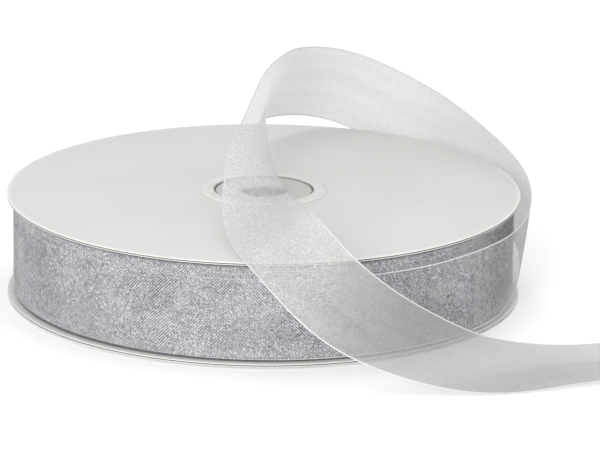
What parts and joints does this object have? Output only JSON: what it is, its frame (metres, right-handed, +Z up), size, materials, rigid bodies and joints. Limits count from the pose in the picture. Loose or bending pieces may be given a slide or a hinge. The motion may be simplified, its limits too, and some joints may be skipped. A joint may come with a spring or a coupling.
{
  "type": "ribbon spool",
  "caption": "Flat paper spool of sheer organza ribbon with two white disc flanges and a bored core; the last turn is pulled off in a loop that falls to the table.",
  "frame": {"origin": "on the spool's axis, at the surface that the lower collar rests on", "axes": "+Z up along the spool's axis; the free ribbon falls over the rim at -Y and runs off towards +X"},
  "size_m": [0.175, 0.1629, 0.0592],
  "materials": {
    "coated_paper": "smooth white coated paper with a soft sheen",
    "greyboard": "uncoated grey-brown board, cut edge showing",
    "tube_paper": "spiral-wound uncoated tube paper",
    "collar": "smooth white pressed ring",
    "tape": "clear film tape",
    "organza_wound": "many layers of silver-grey sheer organza, glittering weave",
    "organza_sheer": "single layer of silver-grey sheer organza with bright selvedges"
  },
  "bodies": {
    "spool": {"lower_flange_board": "greyboard", "lower_flange_outer_paper": "coated_paper", "lower_flange_inner_paper": "coated_paper", "upper_flange_board": "greyboard", "upper_flange_inner_paper": "coated_paper", "upper_flange_outer_paper": "coated_paper", "core_inner_ply": "tube_paper", "core_outer_ply": "tube_paper", "upper_collar": "collar", "lower_collar": "collar", "core_tape": "tape", "wound_ribbon": "organza_wound"},
    "free_end": {"outer_turn": "organza_sheer", "free_ribbon": "organza_sheer"}
  },
  "joints": [
    {"name": "unwinding", "type": "hinge", "parent": "spool", "child": "free_end", "pos_m": [0, 0, 0.0135], "axis": [0, 0, 1], "continuous": true}
  ]
}
